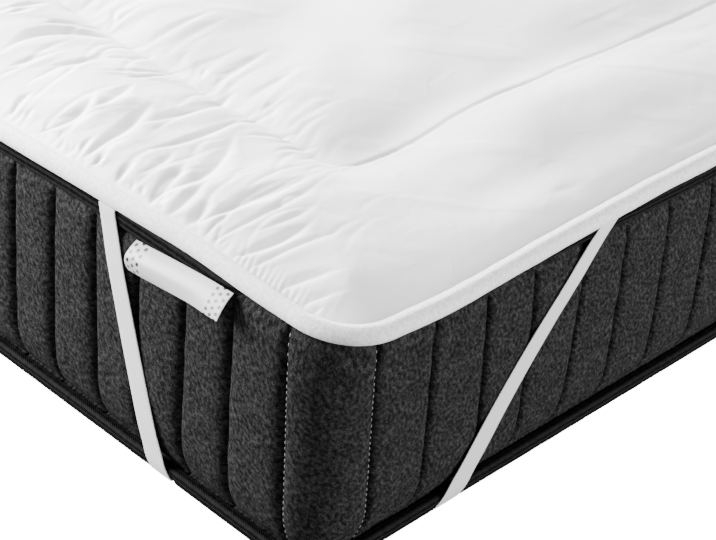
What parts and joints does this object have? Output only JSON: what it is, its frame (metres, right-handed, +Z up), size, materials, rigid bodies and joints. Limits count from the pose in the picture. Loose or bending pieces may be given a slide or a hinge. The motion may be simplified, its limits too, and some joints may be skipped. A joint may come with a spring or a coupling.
{
  "type": "mattress topper on mattress",
  "caption": "White quilted mattress topper with a piped edge and elastic corner bands, held over a dark ribbed mattress with taped edges and a ribbon label.",
  "frame": {"origin": "under the middle of the mattress, on the surface it stands on", "axes": "+Z up; X across the bed; Y along it, with the labelled short wall at -Y"},
  "size_m": [0.9322, 2.0211, 0.2284],
  "materials": {
    "border_knit": "heather charcoal knit, matt",
    "binding_tape": "black ribbed tape, matt",
    "microfibre": "white brushed microfibre with a soft sheen",
    "piping_cloth": "white fine knit, matt",
    "elastic_webbing": "white woven elastic with fine lengthwise ribs",
    "label_satin": "white satin ribbon, soft gloss"
  },
  "bodies": {
    "root": {"mattress": "border_knit", "top_binding": "binding_tape", "bottom_binding": "binding_tape", "topper": "microfibre", "piping": "piping_cloth", "strap_near": "elastic_webbing", "strap_side": "elastic_webbing", "strap_end": "elastic_webbing", "strap_far": "elastic_webbing", "label": "label_satin"}
  },
  "joints": []
}
